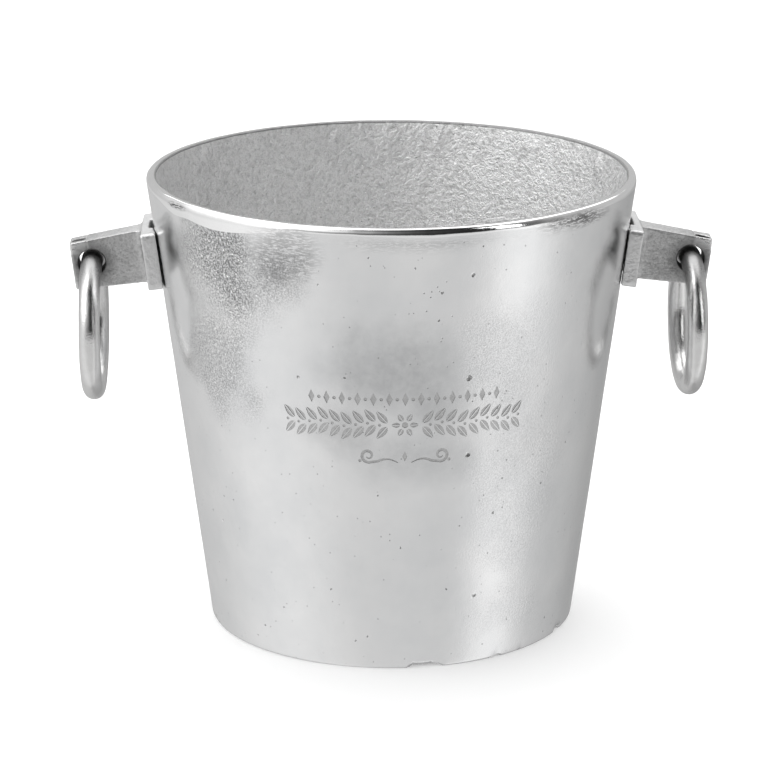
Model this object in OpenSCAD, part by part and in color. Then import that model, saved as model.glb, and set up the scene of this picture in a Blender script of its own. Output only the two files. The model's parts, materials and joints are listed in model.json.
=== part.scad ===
// Champagne bucket: a thick tapered casting with a ring handle on each side.
// Origin: centre of the flat underside. +Z up, +X towards the right handle, millimetres.

/* [Bucket] */
// Outer diameter at the rim
rim_d = 240; // [220:1:260]
// Outer diameter at the underside
base_d = 181.4; // [170:0.2:200]
// Overall height
height = 225; // [210:1:240]
// Thickness of the cast wall, measured level
wall_t = 5; // [4:0.5:7]
// Thickness of the floor
floor_t = 6; // [4:0.5:10]
// Radius of the polished lip's outer edge
lip_r = 2.6; // [1:0.1:3]
// Radius of the lip's inner edge
lip_inner_r = 1; // [0.5:0.1:1.5]
// Radius of the underside's outer edge
base_edge_r = 1.6; // [0.5:0.1:3]
// Radius of the corner between the inner wall and the floor
floor_corner_r = 3; // [1:0.5:6]

/* [Brackets] */
// Height of the flange's middle on the wall
bracket_z = 185.6; // [170:0.1:190]
// Width of the flange
flange_w = 46; // [36:0.5:48]
// Height of the flange
flange_h = 28.4; // [28:0.2:32]
// Distance from the wall to the flange's outer face, at its middle
flange_t = 5.8; // [4.5:0.1:7]
// Corner radius of the flange's outline
flange_corner_r = 2; // [1:0.1:4]
// Thickness of the arm
arm_t = 13.6; // [11:0.1:14]
// Height of the arm where it meets the flange
arm_root_h = 27.2; // [26:0.1:28]
// Height of the arm at its outer end
arm_end_h = 23.5; // [22:0.1:25]
// How far the arm's top falls on its way to the end
arm_top_fall = 2.8; // [0:0.1:3]
// Distance from the wall to the arm's outer end
arm_reach = 42; // [41:0.1:44]
// Radius of the fillet between the arm and the flange
arm_fillet_r = 4; // [2:0.5:6]
// Radius of the edges of the arm's outer end
arm_end_r = 1.2; // [0.5:0.1:1.5]
// Distance from the wall to the eye's axis
eye_reach = 32.3; // [31:0.1:33]
// Radius of the eye that holds the ring
eye_r = 6.5; // [6.5:0.1:7]

/* [Rings] */
// Radius from the ring's centre to the middle of its round bar
ring_r = 32.5; // [30:0.1:34]
// Radius of the round bar
ring_bar_r = 5.3; // [5:0.1:5.6]

/* [Fasteners] */
// Distance between the two screws of a bracket
screw_pitch = 14; // [13:0.5:15]
// Screw length under the head
screw_l = 18; // [16:1:20]

/* [Hidden] */

$fn = 96;
arc_steps = 6;
lathe_fn = 180;

// Slope of the wall and its angle from the vertical
wall_slope = (rim_d - base_d) / 2 / height;
wall_angle = atan(wall_slope);

// Clearances on the back of the flange: deep behind the arm, slight at the two edges
back_relief = 2;
back_relief_w = 18;
edge_relief = 0.5;
edge_relief_w = 3.5;

// M6 button-head screw, its plain washer and the holes for them
screw_r = 3;
thread_gap = 0.03;
clearance_hole_r = 3.3;
head_r = 5.25;
head_h = 3.3;
socket_af = 4;
socket_depth = 2;
washer_r = 6;
washer_hole_r = 3.2;
washer_t = 1.6;
seat_r = 6.8;
tapped_depth = 14;

// Level of the flat seat for a washer, on the inner side of the wall
seat_n = -wall_t * cos(wall_angle);
// Sphere that gives a button head its dome
head_sphere_r = (head_r * head_r + head_h * head_h) / (2 * head_h);
// Colours
cast_silver = [0.80, 0.81, 0.82];
cast_grey = [0.62, 0.62, 0.63];
polished_silver = [0.86, 0.86, 0.87];
steel = [0.70, 0.71, 0.73];

function wall_r(z) = base_d / 2 + wall_slope * z;
function inner_r(z) = wall_r(z) - wall_t;
function arc(c, r, from, to) =
    [for (i = [0 : arc_steps]) let (a = from + (to - from) * i / arc_steps) c + r * [cos(a), sin(a)]];

// Centre of a radius between the sloped wall and a level face, on the outer or the inner side
function outer_centre(z, r) = [wall_r(z) - r / cos(wall_angle), z];
function inner_centre(z, r, side) = [inner_r(z) + side * r / cos(wall_angle), z];

// Places children in the wall's own frame: X out of the wall, Z up along it
module on_wall() {
    translate([wall_r(bracket_z), 0, bracket_z]) rotate([0, wall_angle, 0]) children();
}

module left_side() {
    mirror([1, 0, 0]) children();
}

module along_x() {
    rotate([0, 90, 0]) children();
}

// The wall's outer surface as a solid, grown by a level gap
module wall_cone(gap) {
    cylinder(h = height, r1 = wall_r(0) + gap, r2 = wall_r(height) + gap, $fn = lathe_fn);
}

module bucket_profile() {
    polygon(concat(
        [[0, 0]],
        arc(outer_centre(base_edge_r, base_edge_r), base_edge_r, -90, -wall_angle),
        arc(outer_centre(height - lip_r, lip_r), lip_r, -wall_angle, 90),
        arc(inner_centre(height - lip_inner_r, lip_inner_r, 1), lip_inner_r, 90, 180 - wall_angle),
        arc(inner_centre(floor_t + floor_corner_r, floor_corner_r, -1), floor_corner_r, -wall_angle, -90),
        [[0, floor_t]]
    ));
}

// Clearance holes through the wall, each with a flat seat for its washer
module screw_holes() {
    for (side = [-1, 1])
        on_wall() translate([0, 0, side * screw_pitch / 2]) along_x() {
            translate([0, 0, seat_n - wall_t]) cylinder(h = 3 * wall_t, r = clearance_hole_r);
            translate([0, 0, seat_n - wall_t]) cylinder(h = wall_t, r = seat_r);
        }
}

module bucket_shell() {
    color(cast_silver) difference() {
        rotate_extrude($fn = lathe_fn) bucket_profile();
        screw_holes();
        left_side() screw_holes();
    }
}

module rounded_rectangle(w, h, r) {
    square([w - 2 * r, h], center = true);
    square([w, h - 2 * r], center = true);
    for (x = [-1, 1], y = [-1, 1])
        translate([x * (w / 2 - r), y * (h / 2 - r)]) circle(r = r, $fn = 32);
}

// Flange: starts inside the wall's line, so the wall's surface can shape its back
module flange_blank() {
    start = -wall_t;
    translate([start, 0, 0]) rotate([90, 0, 90])
        linear_extrude(flange_t - start) rounded_rectangle(flange_w, flange_h, flange_corner_r);
}

// Arm seen from above: a bar with a rounded outer end that flares into the flange with two fillets
module arm_plan() {
    translate([-wall_t, -arm_t / 2]) square([wall_t + arm_reach - arm_end_r, arm_t]);
    translate([0, arm_end_r - arm_t / 2]) square([arm_reach, arm_t - 2 * arm_end_r]);
    for (side = [0, 1])
        mirror([0, side]) {
            translate([arm_reach - arm_end_r, arm_t / 2 - arm_end_r]) circle(r = arm_end_r, $fn = 32);
            difference() {
                translate([flange_t - 1, arm_t / 2 - 1]) square([arm_fillet_r + 1, arm_fillet_r + 1]);
                translate([flange_t + arm_fillet_r, arm_t / 2 + arm_fillet_r]) circle(r = arm_fillet_r);
            }
        }
}

// Arm seen from the side: it is a little lower at its end, most of it along the top
module arm_side() {
    end_top = arm_root_h / 2 - arm_top_fall;
    polygon([
        [-wall_t, arm_root_h / 2],
        [0, arm_root_h / 2],
        [arm_reach, end_top],
        [arm_reach, end_top - arm_end_h],
        [0, -arm_root_h / 2],
        [-wall_t, -arm_root_h / 2]
    ]);
}

module arm_blank() {
    intersection() {
        translate([0, 0, -flange_h / 2]) linear_extrude(flange_h) arm_plan();
        translate([0, flange_w / 2, 0]) rotate([90, 0, 0]) linear_extrude(flange_w) arm_side();
    }
}

// What the wall and the clearances take away from the back of the flange
module flange_back() {
    reach = 2 * rim_d;
    wall_cone(0);
    intersection() {
        wall_cone(back_relief);
        translate([0, -back_relief_w / 2, 0]) cube([reach, back_relief_w, height]);
    }
    intersection() {
        wall_cone(edge_relief);
        for (side = [0, 1])
            mirror([0, side, 0])
                translate([0, flange_w / 2 - edge_relief_w, 0]) cube([reach, flange_w, height]);
    }
}

module bracket() {
    color(cast_grey) difference() {
        on_wall() {
            flange_blank();
            arm_blank();
        }
        flange_back();
        on_wall() {
            translate([eye_reach, arm_t, 0]) rotate([90, 0, 0]) cylinder(h = 2 * arm_t, r = eye_r);
            for (side = [-1, 1])
                translate([0, 0, side * screw_pitch / 2]) along_x()
                    cylinder(h = tapped_depth, r = screw_r + thread_gap);
        }
    }
}

module left_bracket() {
    left_side() bracket();
}

module right_bracket() {
    bracket();
}

// Ring: hangs straight down from the eye, in the plane across the arm
module ring() {
    color(polished_silver) on_wall() translate([eye_reach, 0, 0]) rotate([0, -wall_angle, 0])
        translate([0, 0, -ring_r]) along_x() rotate_extrude($fn = lathe_fn)
            translate([ring_r, 0]) circle(r = ring_bar_r, $fn = 64);
}

module left_ring() {
    left_side() ring();
}

module right_ring() {
    ring();
}

// Axis of a bracket's upper (side = 1) or lower (side = -1) screw, pointing out of the wall
module screw_axis(side) {
    on_wall() translate([seat_n - washer_t, 0, side * screw_pitch / 2]) along_x() children();
}

module screw(side) {
    color(steel) screw_axis(side) {
        cylinder(h = screw_l, r = screw_r);
        difference() {
            intersection() {
                translate([0, 0, -head_h]) cylinder(h = head_h, r = head_r);
                translate([0, 0, head_sphere_r - head_h]) sphere(r = head_sphere_r);
            }
            translate([0, 0, -2 * head_h])
                cylinder(h = head_h + socket_depth, r = socket_af / 2 / cos(30), $fn = 6);
        }
    }
}

module washer(side) {
    color(steel) screw_axis(side) difference() {
        cylinder(h = washer_t, r = washer_r);
        translate([0, 0, -washer_t]) cylinder(h = 3 * washer_t, r = washer_hole_r);
    }
}

module left_upper_screw() {
    left_side() screw(1);
}

module left_lower_screw() {
    left_side() screw(-1);
}

module right_upper_screw() {
    screw(1);
}

module right_lower_screw() {
    screw(-1);
}

module left_upper_washer() {
    left_side() washer(1);
}

module left_lower_washer() {
    left_side() washer(-1);
}

module right_upper_washer() {
    washer(1);
}

module right_lower_washer() {
    washer(-1);
}

bucket_shell();
left_bracket();
right_bracket();
left_ring();
right_ring();
left_upper_screw();
left_lower_screw();
right_upper_screw();
right_lower_screw();
left_upper_washer();
left_lower_washer();
right_upper_washer();
right_lower_washer();
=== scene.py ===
"""A champagne bucket with two ring handles: its looks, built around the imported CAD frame.

All lengths are metres in the CAD frame: +Z up, +X towards the right handle, origin under the bucket.
"""

import json
import math

import bmesh
import bpy
import numpy as np
from mathutils import Matrix, Vector


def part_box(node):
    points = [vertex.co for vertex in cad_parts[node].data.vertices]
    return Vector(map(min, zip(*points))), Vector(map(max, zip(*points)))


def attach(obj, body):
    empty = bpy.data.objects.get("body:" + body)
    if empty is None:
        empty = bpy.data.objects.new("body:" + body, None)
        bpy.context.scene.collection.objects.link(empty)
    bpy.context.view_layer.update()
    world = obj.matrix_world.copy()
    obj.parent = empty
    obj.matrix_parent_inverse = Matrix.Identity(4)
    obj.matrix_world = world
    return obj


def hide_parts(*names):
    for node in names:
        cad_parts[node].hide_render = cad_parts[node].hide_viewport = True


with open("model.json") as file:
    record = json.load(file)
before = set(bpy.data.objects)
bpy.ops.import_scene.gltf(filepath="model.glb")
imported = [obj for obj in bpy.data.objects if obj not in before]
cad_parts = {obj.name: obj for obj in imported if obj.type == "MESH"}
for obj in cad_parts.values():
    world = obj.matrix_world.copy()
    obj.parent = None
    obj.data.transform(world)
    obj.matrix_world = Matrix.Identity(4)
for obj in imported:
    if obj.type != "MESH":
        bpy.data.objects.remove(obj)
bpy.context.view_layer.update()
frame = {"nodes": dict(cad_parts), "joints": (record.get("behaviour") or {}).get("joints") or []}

MM = 0.001
TAU = 2 * math.pi

# ---------------------------------------------------------------- sizes of the casting, as in the CAD shell
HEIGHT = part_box("bucket_shell")[1].z
RIM_R = 120 * MM
BASE_R = 90.7 * MM
WALL = 5 * MM
FLOOR = 6 * MM
LIP_R = 2.6 * MM
LIP_INNER_R = 1.0 * MM
BASE_EDGE_R = 1.6 * MM
FLOOR_CORNER_R = 3 * MM
SLOPE = (RIM_R - BASE_R) / HEIGHT
WALL_ANGLE = math.atan(SLOPE)

JOINTS = {joint["name"]: joint for joint in frame["joints"]}
SIDES = {"left": -1, "right": 1}

# ---------------------------------------------------------------- camera
CAMERA_AZIMUTH = math.radians(-1.6)
CAMERA_ELEVATION = math.radians(16.5)
CAMERA_DISTANCE = 1.735
CAMERA_LENS_MM = 162.2
CAMERA_SHIFT_X = -0.0058
CAMERA_TARGET = Vector((0, 0, 0.517 * HEIGHT))


def make_camera():
    data = bpy.data.cameras.new("camera")
    data.lens = CAMERA_LENS_MM
    data.shift_x = CAMERA_SHIFT_X
    camera = bpy.data.objects.new("camera", data)
    bpy.context.scene.collection.objects.link(camera)
    level = math.cos(CAMERA_ELEVATION)
    back = Vector((
        math.sin(CAMERA_AZIMUTH) * level,
        -math.cos(CAMERA_AZIMUTH) * level,
        math.sin(CAMERA_ELEVATION),
    ))
    camera.location = CAMERA_TARGET + back * CAMERA_DISTANCE
    camera.rotation_euler = (-back).to_track_quat("-Z", "Y").to_euler()
    bpy.context.scene.camera = camera


# ---------------------------------------------------------------- seeded noise for shaping meshes
LATTICE = 32


def noise_field(points, cell, seed):
    """Smooth noise from -1 to 1 at each point, with features about one cell across."""
    table = np.random.default_rng(seed).uniform(-1, 1, (LATTICE, LATTICE, LATTICE))
    scaled = np.asarray(points, float) / cell + 1000.0
    corner = np.floor(scaled).astype(int)
    part = scaled - corner
    part = part * part * (3 - 2 * part)
    total = np.zeros(scaled.shape[:-1])
    for dx in (0, 1):
        for dy in (0, 1):
            for dz in (0, 1):
                step = np.array((dx, dy, dz))
                index = (corner + step) % LATTICE
                weight = np.prod(np.where(step, part, 1 - part), axis=-1)
                total += weight * table[index[..., 0], index[..., 1], index[..., 2]]
    return total


def layered_noise(points, cell, seed, layers=3):
    """Several sizes of noise added up, each half the size and strength of the one before."""
    return sum(noise_field(points, cell / 2**i, seed + i) / 2**i for i in range(layers))


def smooth_step(value, low, high):
    part = np.clip((value - low) / (high - low), 0, 1)
    return part * part * (3 - 2 * part)


def bell(azimuth, middle, half):
    """1 at the middle azimuth and falling off to each side of it, in degrees, right round the circle."""
    return np.exp(-(((azimuth - middle + 180) % 360 - 180) / half) ** 2)


# ---------------------------------------------------------------- node helpers
def new_material(name):
    material = bpy.data.materials.new(name)
    material.use_nodes = True
    nodes = material.node_tree.nodes
    nodes.clear()
    output = nodes.new("ShaderNodeOutputMaterial")
    shader = nodes.new("ShaderNodeBsdfPrincipled")
    material.node_tree.links.new(shader.outputs["BSDF"], output.inputs["Surface"])
    return material, shader


def add_node(material, kind, inputs=None, **settings):
    """Adds a node, sets its properties, and sets or links its inputs by name or number."""
    tree = material.node_tree
    node = tree.nodes.new(kind)
    for key, value in settings.items():
        setattr(node, key, value)
    for key, value in (inputs or {}).items():
        if isinstance(value, bpy.types.NodeSocket):
            tree.links.new(value, node.inputs[key])
        else:
            node.inputs[key].default_value = value
    return node


def link(material, output, node, socket):
    material.node_tree.links.new(output, node.inputs[socket])


def object_coordinates(material):
    return add_node(material, "ShaderNodeTexCoord").outputs["Object"]


def noise_texture(material, size, detail=3.0, roughness=0.5):
    """A noise whose features are about `size` metres across."""
    inputs = {
        "Vector": object_coordinates(material),
        "Scale": 1 / size,
        "Detail": detail,
        "Roughness": roughness,
    }
    return add_node(material, "ShaderNodeTexNoise", inputs).outputs["Fac"]


def remap(material, value, from_low, from_high, to_low, to_high):
    inputs = {
        "Value": value,
        "From Min": from_low,
        "From Max": from_high,
        "To Min": to_low,
        "To Max": to_high,
    }
    return add_node(material, "ShaderNodeMapRange", inputs).outputs["Result"]


def math_node(material, operation, first, second):
    node = add_node(material, "ShaderNodeMath", {0: first, 1: second}, operation=operation)
    return node.outputs["Value"]


def mix_colours(material, factor, first, second):
    """Two colours mixed by a factor; each may be a colour or a socket."""
    node = add_node(material, "ShaderNodeMix", data_type="RGBA")
    for index, value in ((0, factor), (6, first), (7, second)):
        if isinstance(value, bpy.types.NodeSocket):
            link(material, value, node, index)
        else:
            node.inputs[index].default_value = value
    return node.outputs[2]


def bump_chain(material, layers):
    """Bumps on top of each other: each layer is (height, depth in metres, strength)."""
    normal = None
    for height, depth, strength in layers:
        inputs = {"Height": height, "Distance": depth, "Strength": strength}
        if normal is not None:
            inputs["Normal"] = normal
        normal = add_node(material, "ShaderNodeBump", inputs).outputs["Normal"]
    return normal


def grey(level, warmth=0.0):
    return (level * (1 + warmth), level, level * (1 - warmth), 1.0)


# ---------------------------------------------------------------- materials
def scattered_pits(material, cell, inner, outer, rarity, crowding):
    """Pits strewn at most one to a cell: radii as shares of the cell, more pits where crowding is high."""
    spots_in = {"Vector": object_coordinates(material), "Scale": 1 / cell, "Randomness": 1.0}
    spots = add_node(material, "ShaderNodeTexVoronoi", spots_in)
    near = remap(material, spots.outputs["Distance"], inner, outer, 1.0, 0.0)
    extra = math_node(material, "MULTIPLY", crowding, 0.22)
    chance = math_node(material, "ADD", spots.outputs["Color"], extra)
    present = remap(material, chance, rarity - 0.02, rarity + 0.02, 0.0, 1.0)
    return math_node(material, "MULTIPLY", near, present)


def scuffed(material, colour):
    """The colour with dark level streaks of the polishing wheel, where the scuff mask is high."""
    scuff = add_node(material, "ShaderNodeAttribute", attribute_name="scuff").outputs["Fac"]
    flat = add_node(material, "ShaderNodeVectorMath", {0: object_coordinates(material), 1: (1.0, 1.0, 5.0)},
                    operation="MULTIPLY").outputs["Vector"]
    noise_in = {"Vector": flat, "Scale": 1 / (3.5 * MM), "Detail": 4.0, "Roughness": 0.65}
    streaks = add_node(material, "ShaderNodeTexNoise", noise_in).outputs["Fac"]
    amount = math_node(material, "MULTIPLY", scuff, remap(material, streaks, 0.48, 0.57, 1.0, 0.0))
    return mix_colours(material, amount, colour, grey(0.12))


def plated_wall_material():
    """Polished nickel over a cast wall: clear reflections broken by orange peel, grain and small pits.
    Painted shade darkens the pits and the low grain of the coarse patches, and painted glints whiten the
    raised dots there.
    """
    material, shader = new_material("plated_wall")
    coarse = add_node(material, "ShaderNodeAttribute", attribute_name="coarse").outputs["Fac"]
    dull = add_node(material, "ShaderNodeAttribute", attribute_name="dull").outputs["Fac"]
    pitted = add_node(material, "ShaderNodeAttribute", attribute_name="pitted").outputs["Fac"]
    cloud = noise_texture(material, 40 * MM, detail=5, roughness=0.6)
    mottle = noise_texture(material, 5 * MM, detail=4, roughness=0.65)
    grain = noise_texture(material, 0.75 * MM, detail=2, roughness=0.6)
    fine = noise_texture(material, 0.38 * MM, detail=1)
    peel = noise_texture(material, 3.2 * MM, detail=2)
    wide_pits = scattered_pits(material, 9 * MM, 0.03, 0.075, 0.66, pitted)
    crowded = math_node(material, "MAXIMUM", pitted, coarse)
    strewn = scattered_pits(material, 3 * MM, 0.03, 0.17, 0.74, crowded)
    small_pits = math_node(material, "MULTIPLY", strewn, 0.6)
    pit = math_node(material, "MAXIMUM", wide_pits, small_pits)
    all_pips = scattered_pits(material, 2.0 * MM, 0.14, 0.34, 0.56, coarse)
    pips_painted_glint = math_node(material, "MULTIPLY", all_pips, coarse)
    tone = mix_colours(material, remap(material, cloud, 0.35, 0.7, 0, 1), grey(0.80), grey(0.73, -0.008))
    stained = math_node(material, "MULTIPLY", dull, remap(material, mottle, 0.3, 0.65, 0.65, 1.0))
    tone = mix_colours(material, stained, tone, grey(0.50, -0.008))
    # painted shade where the grain is low on the coarse patches
    coarse_crevice_painted_shade = math_node(material, "MULTIPLY", coarse, remap(material, grain, 0.42, 0.56, 1.0, 0.0))
    tone = scuffed(material, mix_colours(material, coarse_crevice_painted_shade, tone, grey(0.22, -0.01)))
    # painted glints: the raised dots of the coarse patches made full white
    tone = mix_colours(material, pips_painted_glint, tone, grey(1.0))
    # painted shade inside the pits
    colour = mix_colours(material, math_node(material, "MULTIPLY", pit, 0.7), tone, grey(0.25))
    link(material, colour, shader, "Base Color")
    haze = math_node(material, "MULTIPLY", dull, 0.10)
    roughness = math_node(material, "ADD", remap(material, cloud, 0.3, 0.7, 0.09, 0.17), haze)
    link(material, roughness, shader, "Roughness")
    shader.inputs["Metallic"].default_value = 1.0
    sparkle = math_node(material, "MULTIPLY", grain, remap(material, coarse, 0, 1, 0.06, 1.0))
    glint = math_node(material, "MULTIPLY", fine, remap(material, coarse, 0, 1, 0.08, 1.0))
    raised = remap(material, pit, 0, 1, 1, 0)
    layers = [
        (peel, 0.05 * MM, 1.0),
        (sparkle, 0.80 * MM, 1.0),
        (glint, 0.25 * MM, 1.0),
        (pips_painted_glint, 0.20 * MM, 1.0),
        (raised, 0.25 * MM, 1.0),
    ]
    link(material, bump_chain(material, layers), shader, "Normal")
    return material


def polished_lip_material():
    """The lip's hand-polished band, nearly a mirror with faint grinding waves."""
    material, shader = new_material("polished_lip")
    waves = noise_texture(material, 9 * MM, detail=2)
    scratches = noise_texture(material, 0.7 * MM, detail=3)
    tone = mix_colours(material, waves, grey(0.92), grey(0.86))
    link(material, scuffed(material, tone), shader, "Base Color")
    link(material, remap(material, scratches, 0.3, 0.7, 0.06, 0.14), shader, "Roughness")
    shader.inputs["Metallic"].default_value = 1.0
    layers = [(waves, 0.25 * MM, 0.5), (scratches, 0.02 * MM, 0.5)]
    link(material, bump_chain(material, layers), shader, "Normal")
    return material


def sand_cast_material(name, light, dark, roughness, grain_depth, dent_size=2.4 * MM, hollow_shade=0.14):
    """Metal as it comes from a sand mould: a dull skin with clouds, dents, grains and pinholes. Painted shade
    darkens the dents' low spots, the low grain, the pinholes and the rim's inner edge.
    """
    material, shader = new_material(name)
    cloud = noise_texture(material, 30 * MM, detail=5, roughness=0.6)
    dents = noise_texture(material, dent_size, detail=3, roughness=0.55)
    mottle = noise_texture(material, 1.8 * MM, detail=4, roughness=0.65)
    grain = noise_texture(material, 0.8 * MM, detail=3, roughness=0.7)
    holes_in = {"Vector": object_coordinates(material), "Scale": 1 / (4.5 * MM), "Randomness": 1.0}
    holes = add_node(material, "ShaderNodeTexVoronoi", holes_in)
    near_hole = remap(material, holes.outputs["Distance"], 0.04, 0.12, 1.0, 0.0)
    present = remap(material, holes.outputs["Color"], 0.5, 0.55, 0, 1)
    pinhole = math_node(material, "MULTIPLY", near_hole, present)
    clouded = remap(material, cloud, 0.3, 0.7, 0.3, 1.0)
    mottled = remap(material, mottle, 0.35, 0.65, 0.1, 1.2)
    blend = math_node(material, "MULTIPLY", clouded, mottled)
    tone = mix_colours(material, blend, grey(light), grey(dark))
    # painted shade in the low spots of the dents, as strong as hollow_shade
    dent_painted_shade = math_node(material, "MULTIPLY", remap(material, dents, 0.36, 0.50, 1.0, 0.0), hollow_shade)
    tone = mix_colours(material, dent_painted_shade, tone, grey(0.5 * dark))
    # painted shade on the rim's inner edge, where the edge attribute is set
    edge = add_node(material, "ShaderNodeAttribute", attribute_name="edge").outputs["Fac"]
    tone = mix_colours(material, edge, tone, grey(0.30 * light))
    # painted shade where the grain is low
    crevice_painted_shade = math_node(material, "MULTIPLY", remap(material, grain, 0.40, 0.52, 1.0, 0.0), 0.28)
    tone = mix_colours(material, crevice_painted_shade, tone, grey(0.4 * dark))
    # painted shade in the pinholes
    tone = mix_colours(material, math_node(material, "MULTIPLY", pinhole, 0.6), tone, grey(0.4 * dark))
    link(material, tone, shader, "Base Color")
    link(material, remap(material, grain, 0.3, 0.7, roughness - 0.06, roughness + 0.08), shader, "Roughness")
    shader.inputs["Metallic"].default_value = 1.0
    raised = remap(material, pinhole, 0, 1, 1, 0)
    layers = [
        (dents, 4.5 * grain_depth, 1.0),
        (grain, 2.2 * grain_depth, 1.0),
        (raised, 3 * grain_depth, 1.0),
    ]
    link(material, bump_chain(material, layers), shader, "Normal")
    return material


def etched_material():
    """The frosted floor of the etched ornament and of the casting pits."""
    return sand_cast_material("etched_metal", 0.60, 0.50, 0.45, 0.03 * MM)


def bracket_material():
    """Raw cast skin: paler on the flange, with painted light fading from it along the arm, filed bright at
    the closed end, and darkened by painted shade in the hollow, in the eye's bore and round the eye.
    """
    material = sand_cast_material("bracket_cast", 0.66, 0.40, 0.38, 0.05 * MM, 1.6 * MM)
    nodes = material.node_tree.nodes
    shader = next(node for node in nodes if node.type == "BSDF_PRINCIPLED")
    colour = shader.inputs["Base Color"].links[0].from_socket
    roughness = shader.inputs["Roughness"].links[0].from_socket
    # the masks: a paler flange with painted light fading from it along the arm, the filed finish, and painted
    # shade in the hollow, the eye's bore and round the eye
    for mask, tone, finish in (("pale", 0.86, 0.40), ("filed", 0.74, 0.20), ("painted_shade", 0.06, 0.55)):
        amount = add_node(material, "ShaderNodeAttribute", attribute_name=mask).outputs["Fac"]
        if mask == "pale":
            amount = math_node(material, "MULTIPLY", amount, 0.6)
        colour = mix_colours(material, amount, colour, grey(tone))
        roughness = add_node(material, "ShaderNodeMix", {0: amount, 2: roughness, 3: finish}).outputs[0]
    link(material, colour, shader, "Base Color")
    link(material, roughness, shader, "Roughness")
    return material


def ring_material():
    """Polished round bar with faint waves and hairline scratches; painted shade darkens it, and the finish is
    hazier, where it turns in the eye.
    """
    material, shader = new_material("ring_polish")
    waves = noise_texture(material, 6 * MM, detail=3)
    scratches = noise_texture(material, 0.6 * MM, detail=3, roughness=0.6)
    eye_painted_shade = add_node(material, "ShaderNodeAttribute", attribute_name="eye_painted_shade").outputs["Fac"]
    tone = mix_colours(material, waves, grey(0.76), grey(0.62, 0.01))
    # painted shade where the ring turns in the eye
    link(material, mix_colours(material, eye_painted_shade, tone, grey(0.32)), shader, "Base Color")
    haze = math_node(material, "MULTIPLY", eye_painted_shade, 0.16)
    finish = math_node(material, "ADD", remap(material, scratches, 0.3, 0.7, 0.09, 0.20), haze)
    link(material, finish, shader, "Roughness")
    shader.inputs["Metallic"].default_value = 1.0
    layers = [(waves, 0.35 * MM, 0.5), (scratches, 0.11 * MM, 0.9)]
    link(material, bump_chain(material, layers), shader, "Normal")
    return material


def fastener_material():
    """Satin steel with fine turning marks."""
    material, shader = new_material("satin_steel")
    marks = noise_texture(material, 0.35 * MM, detail=2)
    cloud = noise_texture(material, 3 * MM, detail=2)
    link(material, mix_colours(material, cloud, grey(0.66, -0.01), grey(0.56)), shader, "Base Color")
    link(material, remap(material, marks, 0.3, 0.7, 0.24, 0.38), shader, "Roughness")
    shader.inputs["Metallic"].default_value = 1.0
    link(material, bump_chain(material, [(marks, 0.015 * MM, 0.6)]), shader, "Normal")
    return material


def floor_material():
    material, shader = new_material("pale_floor")
    shader.inputs["Base Color"].default_value = grey(0.9)
    shader.inputs["Roughness"].default_value = 0.9
    shader.inputs["Emission Color"].default_value = grey(1.0)
    shader.inputs["Emission Strength"].default_value = 0.1
    return material


# ---------------------------------------------------------------- mesh helpers
def new_object(name, mesh):
    piece = bpy.data.objects.new(name, mesh)
    bpy.context.scene.collection.objects.link(piece)
    return piece


def shade(mesh, angle_degrees):
    """Smooth shading, broken at edges sharper than the angle."""
    mesh.polygons.foreach_set("use_smooth", np.ones(len(mesh.polygons), bool))
    mesh.set_sharp_from_angle(angle=math.radians(angle_degrees))


def settle_modifiers(piece):
    """Replaces a piece's mesh with what its modifiers make of it."""
    evaluated = piece.evaluated_get(bpy.context.evaluated_depsgraph_get())
    mesh = bpy.data.meshes.new_from_object(evaluated)
    piece.modifiers.clear()
    piece.data = mesh


def vertex_positions(mesh):
    flat = np.zeros(3 * len(mesh.vertices), np.float32)
    mesh.vertices.foreach_get("co", flat)
    return flat.reshape(-1, 3).astype(float)


def vertex_normals(mesh):
    flat = np.zeros(3 * len(mesh.vertices), np.float32)
    mesh.vertices.foreach_get("normal", flat)
    return flat.reshape(-1, 3).astype(float)


def set_positions(mesh, points):
    mesh.vertices.foreach_set("co", np.asarray(points, np.float32).ravel())
    mesh.update()


def set_mask(mesh, name, values):
    attribute = mesh.attributes.new(name, "FLOAT", "POINT")
    attribute.data.foreach_set("value", np.asarray(values, np.float32))


# ---------------------------------------------------------------- the bucket's casting
COLUMNS = 448
WALL_ROWS = 76
INSIDE_ROWS = 50
WALL_SLOT, LIP_SLOT, INSIDE_SLOT, ETCHED_SLOT = range(4)


def outer_radius(height):
    return BASE_R + SLOPE * height


def arc_rows(centre_r, centre_z, radius, start, end, steps):
    """Rows of an arc in the profile, from one angle to the other, in degrees."""
    angles = np.radians(np.linspace(start, end, steps))
    return [(centre_r + radius * math.cos(a), centre_z + radius * math.sin(a)) for a in angles]


# where the polish runs further down the wall: azimuth, half width in degrees, and how far in millimetres
LIP_DROPS = [(-44, 15, 6.0), (-62, 7, 3.0), (8, 17, 1.6), (38, 12, 1.6), (168, 22, 2.0), (85, 14, 1.5)]


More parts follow.
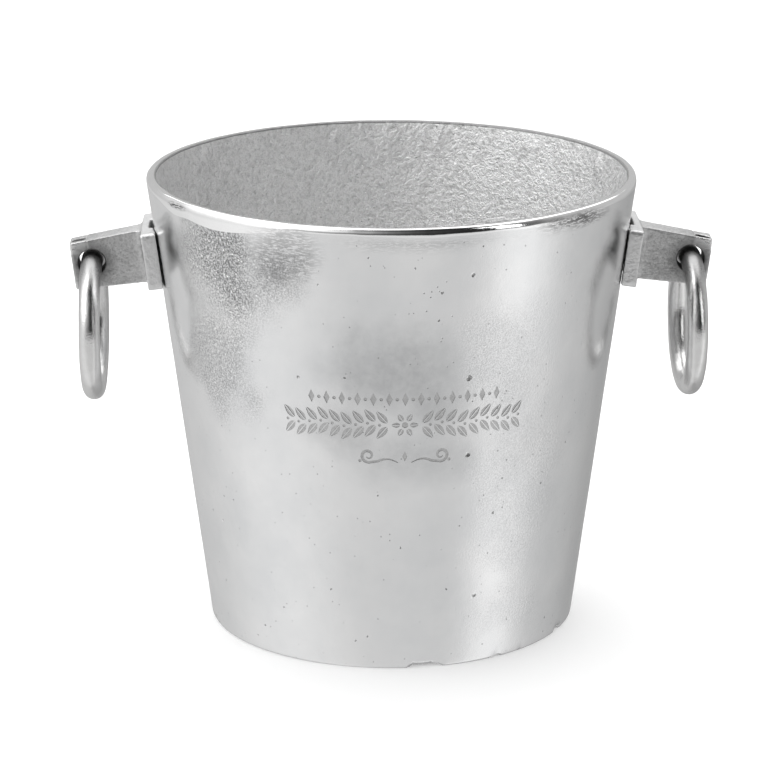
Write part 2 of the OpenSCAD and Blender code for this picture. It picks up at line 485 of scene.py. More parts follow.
def bucket_rows(angles):
    """The profile as rows of (radius, height, material slot), from the underside's centre to the floor's.
    The polished lip's band is a little wider or narrower round the rim, as a hand leaves it."""
    circle = RIM_R * np.stack([np.cos(angles), np.sin(angles), np.zeros_like(angles)], -1)
    lip_r = LIP_R * (1 + 0.15 * layered_noise(circle, 16 * MM, 11, 2))
    azimuth = np.degrees(np.arctan2(circle[:, 0], -circle[:, 1]))
    lip_drop = lip_r + sum(size * MM * bell(azimuth, middle, half) for middle, half, size in LIP_DROPS)
    tilt = math.degrees(WALL_ANGLE)
    lean = 1 / math.cos(WALL_ANGLE)
    flat = np.ones_like(angles)
    rows = []

    def add(points, slot):
        rows.extend((radius * flat, height * flat, slot) for radius, height in points)

    edge_r = outer_radius(BASE_EDGE_R) - BASE_EDGE_R * lean
    add([(edge_r * share, 0.0) for share in np.linspace(0.12, 0.97, 7)], INSIDE_SLOT)
    add(arc_rows(edge_r, BASE_EDGE_R, BASE_EDGE_R, -90, -tilt, 5), WALL_SLOT)
    low, high = rows[-1][1], HEIGHT - lip_drop * (1 + math.sin(WALL_ANGLE))
    for share in np.linspace(0, 1, WALL_ROWS)[1:-1]:
        height = low + (high - low) * share
        rows.append((outer_radius(height), height, WALL_SLOT))
    # an upright ellipse, sheared with the wall, from the wall up to the flat top
    for turn in np.radians(np.linspace(0, 90, 13)):
        height = HEIGHT - lip_drop * (1 - math.sin(turn))
        rows.append((outer_radius(height) - lip_r * (1 - math.cos(turn)), height, LIP_SLOT))
    inner_z = HEIGHT - LIP_INNER_R
    inner_r = outer_radius(inner_z) - WALL + LIP_INNER_R * lean
    rows.append(((rows[-1][0] + inner_r) / 2, HEIGHT * flat, LIP_SLOT))
    add(arc_rows(inner_r, inner_z, LIP_INNER_R, 90, 180 - tilt, 4), INSIDE_SLOT)
    corner_z = FLOOR + FLOOR_CORNER_R
    corner_r = outer_radius(corner_z) - WALL - FLOOR_CORNER_R * lean
    lip_end = rows[-1][1][0] - 0.2 * MM
    add([(outer_radius(lip_end) - WALL, lip_end)], INSIDE_SLOT)
    wall_heights = np.linspace(rows[-1][1][0], corner_z - FLOOR_CORNER_R * math.sin(WALL_ANGLE), INSIDE_ROWS)
    add([(outer_radius(z) - WALL, z) for z in wall_heights[1:-1]], INSIDE_SLOT)
    add(arc_rows(corner_r, corner_z, FLOOR_CORNER_R, -tilt, -90, 8), INSIDE_SLOT)
    add([(corner_r * share, FLOOR) for share in np.linspace(0.9, 0.12, 7)], INSIDE_SLOT)
    return rows


def patches(points, spots, seed, softness):
    """How strongly each point lies in ragged patches of the wall, each given by its middle and half sizes."""
    azimuth = np.degrees(np.arctan2(points[..., 0], -points[..., 1]))
    height = points[..., 2] / HEIGHT
    ragged = 0.40 * layered_noise(points, 22 * MM, seed)
    total = np.zeros(azimuth.shape)
    for centre_az, centre_h, half_az, half_h, strength in spots:
        turn = (azimuth - centre_az + 180) % 360 - 180
        away = np.hypot(turn / half_az, (height - centre_h) / half_h)
        total = np.maximum(total, strength * smooth_step(1 - away + ragged, -softness / 2, softness))
    return total


# azimuth and height share of each patch's middle, half sizes in degrees and height shares, strength
COARSE_SPOTS = [
    (-47, 0.90, 15, 0.15, 1.0),
    (-29, 0.88, 12, 0.09, 0.6),
    (-49, 0.69, 14, 0.14, 0.55),
    (28, 0.70, 14, 0.12, 0.2),
    (36, 0.35, 16, 0.25, 0.16),
    (150, 0.75, 24, 0.16, 0.8),
    (-140, 0.45, 20, 0.14, 0.5),
]
# the same for the cloudy patches
DULL_SPOTS = [
    (0, 0.67, 15, 0.14, 0.9),
    (-14, 0.56, 13, 0.07, 0.7),
    (4, 0.50, 16, 0.07, 0.5),
    (-30, 0.89, 12, 0.07, 0.55),
    (32, 0.55, 9, 0.14, 0.35),
    (-175, 0.60, 22, 0.18, 0.6),
    (115, 0.40, 18, 0.16, 0.5),
    (-110, 0.80, 16, 0.10, 0.6),
]
# the same for the crowded pits, and for the streaks of the polishing wheel
PITTED_SPOTS = [
    (28, 0.20, 12, 0.24, 1.0),
    (14, 0.86, 14, 0.12, 0.8),
    (-20, 0.30, 24, 0.20, 0.45),
    (30, 0.60, 12, 0.20, 0.5),
    (120, 0.30, 30, 0.25, 0.8),
    (-150, 0.70, 26, 0.20, 0.7),
]
SCUFF_SPOTS = [
    (46, 0.979, 14, 0.017, 1.0),
    (-60.5, 0.988, 3.5, 0.005, 1.0),
    (-27, 0.93, 9, 0.05, 0.45),
    (8, 0.966, 20, 0.014, 0.25),
    (-160, 0.94, 16, 0.04, 0.6),
]


def pitted_mask(points):
    """Where casting pits crowd together: in ragged patches, and all along the foot of the wall."""
    foot = 0.8 * (1 - smooth_step(points[..., 2], 4 * MM, 26 * MM))
    return np.maximum(patches(points, PITTED_SPOTS, 46, 0.9), foot)


def scuff_mask(points):
    """Where the polishing wheel left dark level streaks."""
    return patches(points, SCUFF_SPOTS, 56, 0.7)


def rim_edge_painted_shade_mask(points):
    """The rim's inner edge, between the polish and the cast inside, marked for painted shade."""
    inward = outer_radius(points[..., 2]) - WALL - np.hypot(points[..., 0], points[..., 1])
    top = smooth_step(points[..., 2], HEIGHT - 1.05 * MM, HEIGHT - 0.90 * MM)
    return top * smooth_step(inward, -1.3 * MM, -0.9 * MM)


def coarse_mask(points):
    """Where the plating lies over a coarse, sparkling skin."""
    return patches(points, COARSE_SPOTS, 31, 0.6)


def dull_mask(points):
    """Where the polish is cloudy and a little darker."""
    return patches(points, DULL_SPOTS, 36, 0.9)


WAVE_DEPTH = 0.10 * MM
DIMPLE_DEPTH = 0.030 * MM
LUMP_HEIGHT = 0.22 * MM
RUN_HEIGHT = 1.5 * MM
CHIP_LIFT = 1.5 * MM
CHIP_PUSH = 0.7 * MM


def shape_outside(points, slots):
    """Unevenness of the wall: wide waves and shallow dimples, all inwards and fading near the lip."""
    waves = WAVE_DEPTH * (noise_field(points, 38 * MM, 21) - 1)
    dimples = DIMPLE_DEPTH * (layered_noise(points, 9 * MM, 22, 2) - 1)
    faded = 1 - 0.9 * smooth_step(points[..., 2], HEIGHT - 14 * MM, HEIGHT - 4 * MM)
    return (waves + dimples) * faded * (slots == WALL_SLOT)[:, None]


def shape_inside(points, slots):
    """Lumps of the sand mould, and runs of metal just under the lip."""
    lumps = LUMP_HEIGHT * layered_noise(points, 7 * MM, 41)
    stretched = points * np.array((1.0, 1.0, 0.3))
    runs = np.maximum(0, layered_noise(stretched, 5 * MM, 45, 2) - 0.15)
    below = HEIGHT - points[..., 2]
    band = smooth_step(below, 2 * MM, 5 * MM) * (1 - smooth_step(below, 9 * MM, 22 * MM))
    inside = (slots == INSIDE_SLOT)[:, None] & (points[..., 2] > FLOOR / 2)
    return (lumps - RUN_HEIGHT * runs * band) * inside


def chip_base(points):
    """Chips along the underside's edge: lifts the points there, and returns how far they move outwards."""
    chips = smooth_step(layered_noise(points, 8 * MM, 51, 2), 0.34, 0.65)
    radius = np.hypot(points[..., 0], points[..., 1])
    low = 1 - smooth_step(points[..., 2], 0.5 * MM, 4 * MM)
    outer = smooth_step(radius, BASE_R - 5 * MM, BASE_R - 2 * MM)
    points[..., 2] += CHIP_LIFT * chips * low * outer
    return -CHIP_PUSH * chips * low * outer


def bucket_mesh():
    angles = np.linspace(0, TAU, COLUMNS, endpoint=False)
    rows = bucket_rows(angles)
    radius = np.stack([row[0] for row in rows])
    height = np.stack([row[1] for row in rows])
    slots = np.array([row[2] for row in rows])
    direction = np.stack([np.cos(angles), np.sin(angles)], -1)
    points = np.concatenate([radius[..., None] * direction, height[..., None]], -1)
    push = shape_outside(points, slots) + shape_inside(points, slots) + chip_base(points)
    points[..., :2] += push[..., None] * direction
    vertices = points.reshape(-1, 3).tolist() + [(0, 0, 0), (0, 0, FLOOR)]
    under_centre, floor_centre = len(vertices) - 2, len(vertices) - 1
    faces, face_slots = [], []
    last = len(rows) - 1
    for j in range(COLUMNS):
        k = (j + 1) % COLUMNS
        faces.append((under_centre, k, j))
        faces.append((floor_centre, last * COLUMNS + j, last * COLUMNS + k))
        face_slots += [INSIDE_SLOT, INSIDE_SLOT]
        for i in range(last):
            low, high = i * COLUMNS, (i + 1) * COLUMNS
            faces.append((low + j, low + k, high + k, high + j))
            face_slots.append(int(slots[i]))
    mesh = bpy.data.meshes.new("bucket_body")
    mesh.from_pydata(vertices, [], faces)
    mesh.polygons.foreach_set("material_index", face_slots)
    return mesh


# ---------------------------------------------------------------- etched ornament: three rows, no lettering
ORNAMENT_Z = 0.569 * HEIGHT
ORNAMENT_TURN = math.radians(1.8)
ETCH_DEPTH = 0.35 * MM
ETCH_LIFT = 1.0 * MM


def on_wall(across, up, depth):
    """A point on the front wall: across and up from the ornament's middle, and so deep under the surface."""
    height = ORNAMENT_Z + up
    angle = ORNAMENT_TURN + across / outer_radius(ORNAMENT_Z)
    radius = outer_radius(height) - depth
    return (radius * math.sin(angle), -radius * math.cos(angle), height)


def placed(outline, across, up, turn=0.0, mirror=1):
    """An outline turned and moved to its place in a row; mirror = -1 flips it left to right."""
    c, s = math.cos(turn), math.sin(turn)
    return [(mirror * (across + x * c - y * s), up + x * s + y * c) for x, y in outline]


def half_leaf(length, width, side, vein=0.22 * MM):
    """One half of a pointed leaf along +X, on one side of its vein."""
    steps = 7
    edge = []
    for i in range(steps + 1):
        share = i / steps
        bulge = math.sin(math.pi * share**0.8) ** 0.9
        edge.append((length * share, side * (vein + (width / 2 - vein) * bulge)))
    vein_line = [(length * 0.92, side * vein), (length * 0.05, side * vein)]
    return edge + vein_line


def disc(radius, corners=14):
    turns = [TAU * i / corners for i in range(corners)]
    return [(radius * math.cos(turn), radius * math.sin(turn)) for turn in turns]


def lozenge(width, height):
    return [(width / 2, 0), (0, height / 2), (-width / 2, 0), (0, -height / 2)]


def brush_stroke(line, width):
    """A ribbon round a line of points, thin at its ends and full in the middle."""
    left, right = [], []
    for i, (x, y) in enumerate(line):
        before, after = line[max(i - 1, 0)], line[min(i + 1, len(line) - 1)]
        dx, dy = after[0] - before[0], after[1] - before[1]
        size = math.hypot(dx, dy)
        half = width / 2 * (0.25 + 0.75 * math.sin(math.pi * i / (len(line) - 1)))
        left.append((x - dy / size * half, y + dx / size * half))
        right.append((x + dy / size * half, y - dx / size * half))
    return left + right[::-1]


def bead_row(up, half_width, lozenges):
    """Lozenges with a dot between each two, symmetric about the middle."""
    shapes = []
    pitch = 2 * half_width / (lozenges - 1)
    for i in range(lozenges):
        across = -half_width + i * pitch
        shapes.append(placed(lozenge(3.0 * MM, 6.6 * MM), across, up))
        if i < lozenges - 1:
            shapes.append(placed(disc(0.85 * MM), across + pitch / 2, up))
    return shapes


def leaf_row(up, half_width, leaves):
    """Two leafy sprays that grow outwards from a flower in the middle."""
    shapes = [placed(disc(1.5 * MM), 0, up)]
    for petal in range(6):
        turn = TAU * petal / 6
        reach = 2.3 * MM
        petal_across, petal_up = reach * math.cos(turn), up + reach * math.sin(turn)
        for side in (-1, 1):
            outline = placed(half_leaf(4.0 * MM, 2.6 * MM, side), petal_across, petal_up, turn)
            shapes.append(outline)
    first = 10 * MM
    pitch = (half_width - first) / (leaves - 1)
    for mirror in (-1, 1):
        for i in range(leaves):
            across = first + i * pitch
            wave = 0.9 * MM * math.sin(TAU * i / 4)
            for lift in (-1, 1):
                turn = lift * math.radians(50)
                base = (across - 1.6 * MM, up + wave + lift * 1.0 * MM)
                for side in (-1, 1):
                    leaf = half_leaf(7.6 * MM, 3.5 * MM, side)
                    shapes.append(placed(leaf, *base, turn, mirror))
            shapes.append(placed(disc(0.75 * MM, 10), across + 1.9 * MM, up + wave, 0, mirror))
    return shapes


def curl(length, height, turns=1.15):
    """A line that runs outwards in an S and winds into a small spiral."""
    line = [(length * 0.55 * i / 8, height * 0.28 * math.sin(math.pi * i / 8)) for i in range(8)]
    for i in range(17):
        share = i / 16
        radius = height * 0.5 * (1 - 0.72 * share)
        angle = math.radians(-90) + TAU * turns * share
        line.append((length * 0.72 + radius * math.cos(angle), height * 0.5 + radius * math.sin(angle)))
    return line


def curl_row(up, half_width):
    """A pair of mirrored curls with a drop between them."""
    shapes = [placed(lozenge(2.4 * MM, 5.0 * MM), 0, up)]
    for mirror in (-1, 1):
        line = curl(half_width, 7.0 * MM)
        shapes.append(placed(brush_stroke(line, 1.5 * MM), 3.2 * MM, up - 3.2 * MM, 0, mirror))
        shapes.append(placed(disc(0.8 * MM, 10), half_width + 1.6 * MM, up - 2.4 * MM, 0, mirror))
    return shapes


def add_prism(cutter, outline):
    """A closed prism through the wall's skin with that outline."""
    count = len(outline)
    area = sum(
        outline[i][0] * outline[(i + 1) % count][1] - outline[(i + 1) % count][0] * outline[i][1]
        for i in range(count)
    )
    if area < 0:
        outline = outline[::-1]
    outer = [cutter.verts.new(on_wall(x, y, -ETCH_LIFT)) for x, y in outline]
    inner = [cutter.verts.new(on_wall(x, y, ETCH_DEPTH)) for x, y in outline]
    cutter.faces.new(outer)
    cutter.faces.new(inner[::-1])
    for i in range(count):
        k = (i + 1) % count
        cutter.faces.new((outer[i], inner[i], inner[k], outer[k]))


PIT_COUNT = 60
PIT_SEED = 7
# larger ragged pits: azimuth in degrees, height share, size in millimetres
RAGGED_PITS = [
    (17.5, 0.665, 1.5),
    (17.3, 0.895, 1.3),
    (18.5, 0.49, 1.3),
    (-13, 0.672, 0.9),
    (-25, 0.665, 0.8),
    (10, 0.86, 0.9),
    (23, 0.16, 1.3),
    (27, 0.35, 0.9),
    (9.5, 0.8, 0.7),
    (-140, 0.6, 1.2),
    (95, 0.4, 1.1),
]


def add_pits(cutter):
    """Small round pits over the wall, clear of the ornament, and larger ragged ones at chosen places."""
    rng = np.random.default_rng(PIT_SEED)
    for _ in range(PIT_COUNT):
        azimuth = rng.uniform(-math.pi, math.pi)
        height = HEIGHT * rng.uniform(0.03, 0.96)
        size = (0.30 + 0.45 * rng.random() ** 3) * MM
        across = azimuth * outer_radius(ORNAMENT_Z)
        if abs(across) < 66 * MM and abs(height - ORNAMENT_Z) < 26 * MM:
            continue
        radius = outer_radius(height) + 0.35 * size
        place = Matrix.Translation((radius * math.sin(azimuth), -radius * math.cos(azimuth), height))
        bmesh.ops.create_icosphere(cutter, subdivisions=2, radius=size, matrix=place)
    for degrees, share, size in RAGGED_PITS:
        azimuth, height = math.radians(degrees), HEIGHT * share
        radius = outer_radius(height) + 0.3 * size * MM
        middle = np.array((radius * math.sin(azimuth), -radius * math.cos(azimuth), height))
        ball = bmesh.ops.create_icosphere(cutter, subdivisions=3, radius=size * MM)["verts"]
        shape = np.array([vertex.co for vertex in ball])
        shape *= 0.9 + 0.55 * noise_field(shape + middle, 0.8 * size * MM, 12)[:, None]
        for vertex, offset in zip(ball, shape):
            vertex.co = middle + offset


def carve(piece, cutter_bmesh):
    """Cuts a closed mesh out of a piece; the cut faces take the cutter's material."""
    mesh = bpy.data.meshes.new("cutter")
    cutter_bmesh.to_mesh(mesh)
    cutter_bmesh.free()
    mesh.materials.append(piece.data.materials[-1])
    cutter = new_object("cutter", mesh)
    modifier = piece.modifiers.new("carve", "BOOLEAN")
    modifier.operation = "DIFFERENCE"
    modifier.solver = "EXACT"
    modifier.material_mode = "TRANSFER"
    modifier.object = cutter
    settle_modifiers(piece)
    bpy.data.objects.remove(cutter)


def make_bucket():
    mesh = bucket_mesh()
    inside = sand_cast_material("sand_cast_inside", 0.98, 0.88, 0.36, 0.22 * MM, hollow_shade=0.30)
    for material in (plated_wall_material(), polished_lip_material(), inside, etched_material()):
        mesh.materials.append(material)
    piece = new_object("bucket_body", mesh)
    cutter = bmesh.new()
    outlines = (
        bead_row(13 * MM, 44 * MM, 13)
        + leaf_row(0, 55 * MM, 9)
        + curl_row(-16 * MM, 20 * MM)
    )
    for outline in outlines:
        add_prism(cutter, outline)
    add_pits(cutter)
    bmesh.ops.recalc_face_normals(cutter, faces=cutter.faces)
    carve(piece, cutter)
    points = vertex_positions(piece.data)
    set_mask(piece.data, "coarse", coarse_mask(points))
    set_mask(piece.data, "dull", dull_mask(points))
    set_mask(piece.data, "pitted", pitted_mask(points))
    set_mask(piece.data, "scuff", scuff_mask(points))
    set_mask(piece.data, "edge", rim_edge_painted_shade_mask(points))
    shade(piece.data, 40)
    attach(piece, "bucket")
    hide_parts("bucket_shell")


# ---------------------------------------------------------------- brackets
BRACKET_VOXEL = 0.42 * MM
EYE_R = 6.5 * MM
FLANGE_FACE = -26.5 * MM
HOLLOW_PLACE = (4.9 * MM, -1.9 * MM, 11.1 * MM)
HOLLOW_SIZE = (3.6 * MM, 2.4 * MM, 2.6 * MM)
SOFTEN_PASSES = 13
SKIN_BUMPS = 0.05 * MM
SKIN_WAVES = 0.10 * MM
SKIN_INSET = 0.08 * MM
SMEAR_DEPTH = 0.12 * MM
SEAM_DEPTH = 0.35 * MM
SEAM_ALONG = 1.0 * MM
SEAM_SPREAD = 0.35 * MM


def bracket_frame(side):
    """The eye's centre, and the directions out of the wall and up along it."""
    centre = Vector(JOINTS[side + "_ring_swing"]["pos_m"])
    sign = SIDES[side]
    out = Vector((sign * math.cos(WALL_ANGLE), 0, -math.sin(WALL_ANGLE)))
    up = Vector((sign * math.sin(WALL_ANGLE), 0, math.cos(WALL_ANGLE)))
    return centre, out, up


def copy_of_node(node, name):
    """A new piece with the CAD node's mesh, its doubled points merged."""
    mesh = frame["nodes"][node].data.copy()
    mesh.name = name
    mesh.materials.clear()
    if "UVMap" in mesh.attributes:
        mesh.attributes.remove(mesh.attributes["UVMap"])
    work = bmesh.new()
    work.from_mesh(mesh)
    bmesh.ops.remove_doubles(work, verts=work.verts, dist=0.001 * MM)
    work.to_mesh(mesh)
    work.free()
    return new_object(name, mesh)


def add_hollow(cutter, centre, out, up, place, half_sizes):
    """A smooth oval hollow, placed in the bracket's own directions: out, along +Y, and up."""
    across = Vector((0, 1, 0))
    point = centre + out * place[0] + across * place[1] + up * place[2]
    turn = Matrix((out, across, up)).transposed().to_4x4()
    size = Matrix.Diagonal((*half_sizes, 1.0))
    oval = Matrix.Translation(point) @ turn @ size
    bmesh.ops.create_icosphere(cutter, subdivisions=3, radius=1.0, matrix=oval)


def make_bracket(side, material):
    """The CAD bracket as a softened casting, filed bright where the eye was closed, with a hollow; painted
    shade darkens the hollow, the eye's bore and the arm round the eye.
    """
    centre, out, up = bracket_frame(side)
    piece = copy_of_node(side + "_bracket", side + "_bracket_casting")
    piece.data.materials.append(material)
    cutter = bmesh.new()
    add_hollow(cutter, centre, out, up, HOLLOW_PLACE, HOLLOW_SIZE)
    carve(piece, cutter)
    remesh = piece.modifiers.new("remesh", "REMESH")
    remesh.mode = "VOXEL"
    remesh.voxel_size = BRACKET_VOXEL
    soften = piece.modifiers.new("soften", "SMOOTH")
    soften.factor = 0.5
    soften.iterations = SOFTEN_PASSES
    settle_modifiers(piece)
    mesh = piece.data
    points, normals = vertex_positions(mesh), vertex_normals(mesh)
    local = points - np.array(centre)
    along, above = local @ np.array(out), local @ np.array(up)
    from_eye = np.hypot(along, above) - EYE_R
    calm = smooth_step(from_eye, 0.3 * MM, 1.5 * MM)
    filed = smooth_step(along, 0.8 * MM, 1.3 * MM) * smooth_step(above, 4.6 * MM, 5.4 * MM)
    seam = np.exp(-((along - SEAM_ALONG) / SEAM_SPREAD) ** 2) * smooth_step(above, 5.5 * MM, 6.5 * MM)
    bumps = SKIN_BUMPS * layered_noise(points, 1.8 * MM, 61) + SKIN_WAVES * noise_field(points, 9 * MM, 66)
    smears = SMEAR_DEPTH * layered_noise(points, 3.2 * MM, 71, 2)
    push = calm * (bumps * (1 - filed) + (smears - SMEAR_DEPTH) * filed) - SEAM_DEPTH * seam - SKIN_INSET
    set_positions(mesh, points + normals * push[:, None])
    from_hollow = np.stack([along, local[:, 1], above], -1) - np.array(HOLLOW_PLACE)
    # painted shade: in the hollow, in the eye's bore, and fading out over 8 mm round the eye
    in_hollow = 1 - smooth_step(np.linalg.norm(from_hollow / np.array(HOLLOW_SIZE), axis=-1), 0.98, 1.10)
    in_bore = 1 - smooth_step(from_eye, 0.3 * MM, 0.9 * MM)
    round_bore = 0.5 - 0.5 * smooth_step(from_eye, 0.5 * MM, 8 * MM)
    set_mask(mesh, "filed", filed)
    # a paler flange, and painted light fading from it along the arm
    on_flange = 1 - smooth_step(along, FLANGE_FACE, FLANGE_FACE + 1.5 * MM)
    towards_flange = 0.45 - 0.45 * smooth_step(along, FLANGE_FACE, FLANGE_FACE + 13 * MM)
    set_mask(mesh, "pale", np.maximum(on_flange, towards_flange))
    set_mask(mesh, "painted_shade", np.maximum(in_hollow, 0.9 * np.maximum(in_bore, round_bore)))
    mesh.polygons.foreach_set("use_smooth", np.ones(len(mesh.polygons), bool))
    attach(piece, "bucket")
    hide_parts(side + "_bracket")


# ---------------------------------------------------------------- rings
RING_R = 32.5 * MM
RING_BAR_R = 5.3 * MM
RING_TWIST = {"left": math.radians(-1.0), "right": math.radians(2.4)}
RING_STEPS = 224
BAR_STEPS = 56
RING_WAVES = 0.10 * MM
RING_RIPPLES = 0.06 * MM
RING_INSET = 0.12 * MM


def make_ring(side, material):
    """A round bar bent to a ring: slightly uneven, except where it turns in the eye."""
    pivot = Vector(JOINTS[side + "_ring_swing"]["pos_m"])
    centre = np.array(pivot - Vector((0, 0, RING_R)))
    around = np.linspace(0, TAU, RING_STEPS, endpoint=False)[:, None]
    section = np.linspace(0, TAU, BAR_STEPS, endpoint=False)[None, :]
    outward = np.stack([0 * around, np.sin(around), np.cos(around)], -1)
    twist = RING_TWIST[side]
    outward = outward @ np.array(Matrix.Rotation(-twist, 3, "Z"))
    sideways = np.array((math.cos(twist), math.sin(twist), 0.0))
    direction = np.cos(section)[..., None] * outward + np.sin(section)[..., None] * sideways
    points = centre + RING_R * outward + RING_BAR_R * direction
    seed = 80 if side == "left" else 90
    waves = RING_WAVES * noise_field(points, 14 * MM, seed)
    uneven = waves + RING_RIPPLES * layered_noise(points, 4 * MM, seed + 2, 2)
    calm = smooth_step(1 - np.cos(around), 0.05, 0.25)
    points = points + direction * ((uneven - RING_INSET) * calm)[..., None]
    faces = []
    for i in range(RING_STEPS):
        k = (i + 1) % RING_STEPS
        for j in range(BAR_STEPS):
            m = (j + 1) % BAR_STEPS
            faces.append((i * BAR_STEPS + j, k * BAR_STEPS + j, k * BAR_STEPS + m, i * BAR_STEPS + m))
    mesh = bpy.data.meshes.new(side + "_ring_bar")
    mesh.from_pydata(points.reshape(-1, 3).tolist(), [], faces)
    mesh.materials.append(material)
    mesh.polygons.foreach_set("use_smooth", np.ones(len(mesh.polygons), bool))
    # painted shade where the ring turns in the eye; the material also makes the finish hazier there
    eye_painted_shade = np.broadcast_to(1 - smooth_step(1 - np.cos(around), 0.05, 0.40), (RING_STEPS, BAR_STEPS))
    set_mask(mesh, "eye_painted_shade", eye_painted_shade.ravel())
    piece = new_object(side + "_ring_bar", mesh)
    work = bmesh.new()
    work.from_mesh(mesh)
    bmesh.ops.recalc_face_normals(work, faces=work.faces)
    work.to_mesh(mesh)
    work.free()
    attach(piece, side + "_ring")
    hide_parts(side + "_ring")


# ---------------------------------------------------------------- screws and washers
def make_fastener(node, edge, material):
    """The CAD fastener with its sharp edges broken by a small round."""
    piece = copy_of_node(node, node + "_finished")
    piece.data.materials.append(material)
    work = bmesh.new()
    work.from_mesh(piece.data)
    bmesh.ops.dissolve_limit(work, angle_limit=math.radians(2), verts=work.verts, edges=work.edges)
    work.to_mesh(piece.data)
    work.free()
    bevel = piece.modifiers.new("edge", "BEVEL")
    bevel.width = edge
    bevel.segments = 3
    bevel.limit_method = "ANGLE"
    bevel.angle_limit = math.radians(35)
    settle_modifiers(piece)
    shade(piece.data, 30)
    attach(piece, "bucket")
    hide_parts(node)


# ---------------------------------------------------------------- floor and light
FLOOR_SIZE = 8.0


def make_floor():
    mesh = bpy.data.meshes.new("floor")
    half = FLOOR_SIZE / 2
    corners = [(-half, -half, 0), (half, -half, 0), (half, half, 0), (-half, half, 0)]
    mesh.from_pydata(corners, [], [(0, 1, 2, 3)])
    mesh.materials.append(floor_material())
    floor = new_object("floor", mesh)
    floor.visible_glossy = False


def make_softbox(name, azimuth, elevation, distance, size, brightness, seen=True):
    """A soft rectangular lamp that looks at the bucket from an azimuth (0 is the front) and an elevation.
    A lamp that isn't seen lights the floor only: the dome holds its reflection."""
    data = bpy.data.lights.new(name, "AREA")
    data.shape = "RECTANGLE"
    data.size, data.size_y = size
    data.energy = brightness * math.pi * size[0] * size[1]
    lamp = bpy.data.objects.new(name, data)
    bpy.context.scene.collection.objects.link(lamp)
    a, e = math.radians(azimuth), math.radians(elevation)
    back = Vector((math.sin(a) * math.cos(e), -math.cos(a) * math.cos(e), math.sin(e)))
    middle = Vector((0, 0, HEIGHT / 2))
    lamp.location = middle + back * distance
    lamp.rotation_euler = back.to_track_quat("Z", "Y").to_euler()
    lamp.visible_glossy = seen


def make_world():
    """Even light on the floor, and a white background for the camera."""
    world = bpy.data.worlds.new("studio")
    world.use_nodes = True
    bpy.context.scene.world = world
    background = world.node_tree.nodes["Background"]
    background.inputs["Color"].default_value = grey(1.0)
    background.inputs["Strength"].default_value = 1.0


# soft panels low round the bucket: azimuth (0 is the front, 90 the right), half width in degrees, and the
# brightness added there
LOW_LEVEL = 0.66
LOW_PANELS = [(-72, 48, 0.30), (12, 26, 0.09), (65, 20, 0.45), (155, 35, -0.24)]
FRONT_LEVEL = 0.015
FRONT_AZIMUTH = 12
BACK_LEVEL = 0.55
# a glow at the left: brightness, then its middle and its spreads in azimuth and elevation
LEFT_LEVEL = 2.0
LEFT_AZIMUTH, LEFT_ELEVATION = -66, 33
LEFT_SPREAD, LEFT_RISE = 42, 28
# a band above, brighter towards its glow, and the zenith inside it
UPPER_LEVEL = 1.2
UPPER_GLOW = 3.0
UPPER_AZIMUTH, UPPER_SPREAD = -60, 40
ZENITH_LEVEL = 0.9


def studio_level(azimuth, elevation):
    """Brightness of the studio in a direction: pale below, dark in front, grey behind, with a bright glow at
    the left, a bright band high up that starts lower behind, and a softer zenith."""
    low = LOW_LEVEL + sum(size * bell(azimuth, middle, half) for middle, half, size in LOW_PANELS)
    behind = smooth_step(np.abs(azimuth - FRONT_AZIMUTH), 38, 88)
    high = FRONT_LEVEL + (BACK_LEVEL - FRONT_LEVEL) * behind
    across, rise = (azimuth - LEFT_AZIMUTH) / LEFT_SPREAD, (elevation - LEFT_ELEVATION) / LEFT_RISE
    high = high + LEFT_LEVEL * np.exp(-(across**2) - rise**2)
    level = low + (high - low) * smooth_step(elevation, -9, -1)
    upper = UPPER_LEVEL + UPPER_GLOW * np.exp(-(((azimuth - UPPER_AZIMUTH) / UPPER_SPREAD) ** 2))
    start = 74 - 32 * behind
    level = level + (upper - level) * smooth_step(elevation, start, start + 18)
    return level + (ZENITH_LEVEL - level) * smooth_step(elevation, 72, 84)


DOME_R = 3.0
DOME_COLUMNS = 144
DOME_ROWS = 91


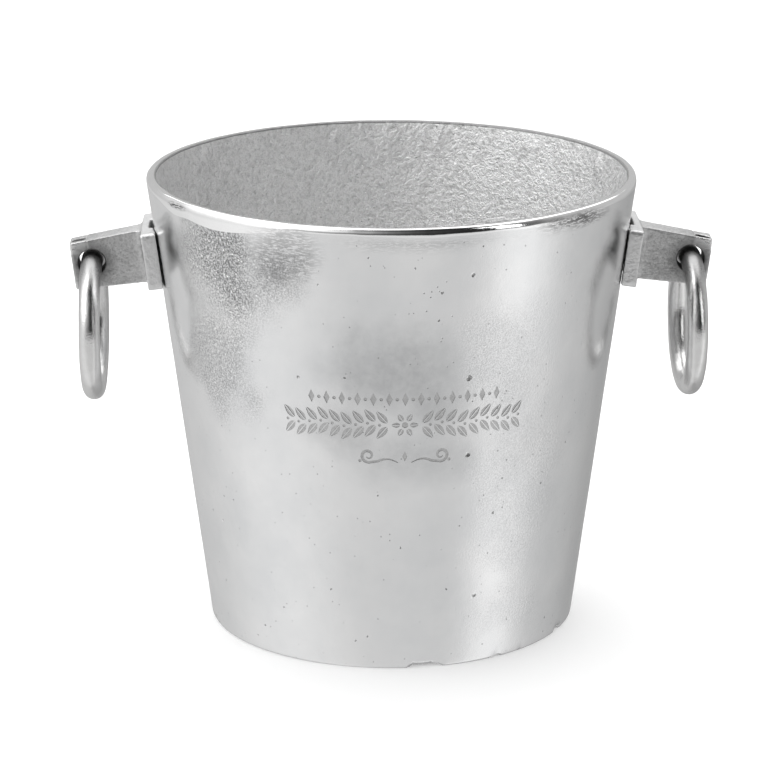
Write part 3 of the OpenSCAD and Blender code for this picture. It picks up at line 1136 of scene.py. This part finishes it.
def make_dome():
    """The studio as reflections see it: a dome of soft brightness, in place of the floor and the world."""
    azimuths, elevations = np.meshgrid(
        np.linspace(-180, 180, DOME_COLUMNS + 1)[:-1], np.linspace(-89, 89, DOME_ROWS), indexing="ij"
    )
    a, e = np.radians(azimuths), np.radians(elevations)
    points = DOME_R * np.stack([np.sin(a) * np.cos(e), -np.cos(a) * np.cos(e), np.sin(e)], -1)
    points[..., 2] += HEIGHT / 2
    faces = []
    for i in range(DOME_COLUMNS):
        k = (i + 1) % DOME_COLUMNS
        for j in range(DOME_ROWS - 1):
            first, second = i * DOME_ROWS + j, k * DOME_ROWS + j
            faces.append((first, second, second + 1, first + 1))
    mesh = bpy.data.meshes.new("studio_dome")
    mesh.from_pydata(points.reshape(-1, 3).tolist(), [], faces)
    set_mask(mesh, "level", studio_level(azimuths, elevations).ravel())
    material = bpy.data.materials.new("studio_dome")
    material.use_nodes = True
    nodes = material.node_tree.nodes
    nodes.clear()
    glow = add_node(material, "ShaderNodeEmission")
    level = add_node(material, "ShaderNodeAttribute", attribute_name="level").outputs["Fac"]
    link(material, level, glow, "Strength")
    link(material, glow.outputs["Emission"], nodes.new("ShaderNodeOutputMaterial"), "Surface")
    mesh.materials.append(material)
    dome = new_object("studio_dome", mesh)
    dome.visible_camera = dome.visible_diffuse = dome.visible_shadow = False


def make_lights():
    make_world()
    make_dome()
    make_softbox("key_left", -68, 28, 1.5, (2.6, 1.6), 0.6, seen=False)
    make_softbox("fill_right", 52, 25, 1.9, (0.5, 1.5), 2.0)
    make_softbox("back_top", 180, 55, 1.7, (2.4, 1.6), 1.1)


# ---------------------------------------------------------------- everything
make_camera()
make_floor()
make_lights()
make_bucket()
cast_skin = bracket_material()
polish = ring_material()
steel = fastener_material()
for side in SIDES:
    make_bracket(side, cast_skin)
    make_ring(side, polish)
    for level in ("upper", "lower"):
        make_fastener(f"{side}_{level}_screw", 0.3 * MM, steel)
        make_fastener(f"{side}_{level}_washer", 0.2 * MM, steel)
bpy.context.scene.view_settings.view_transform = "Standard"
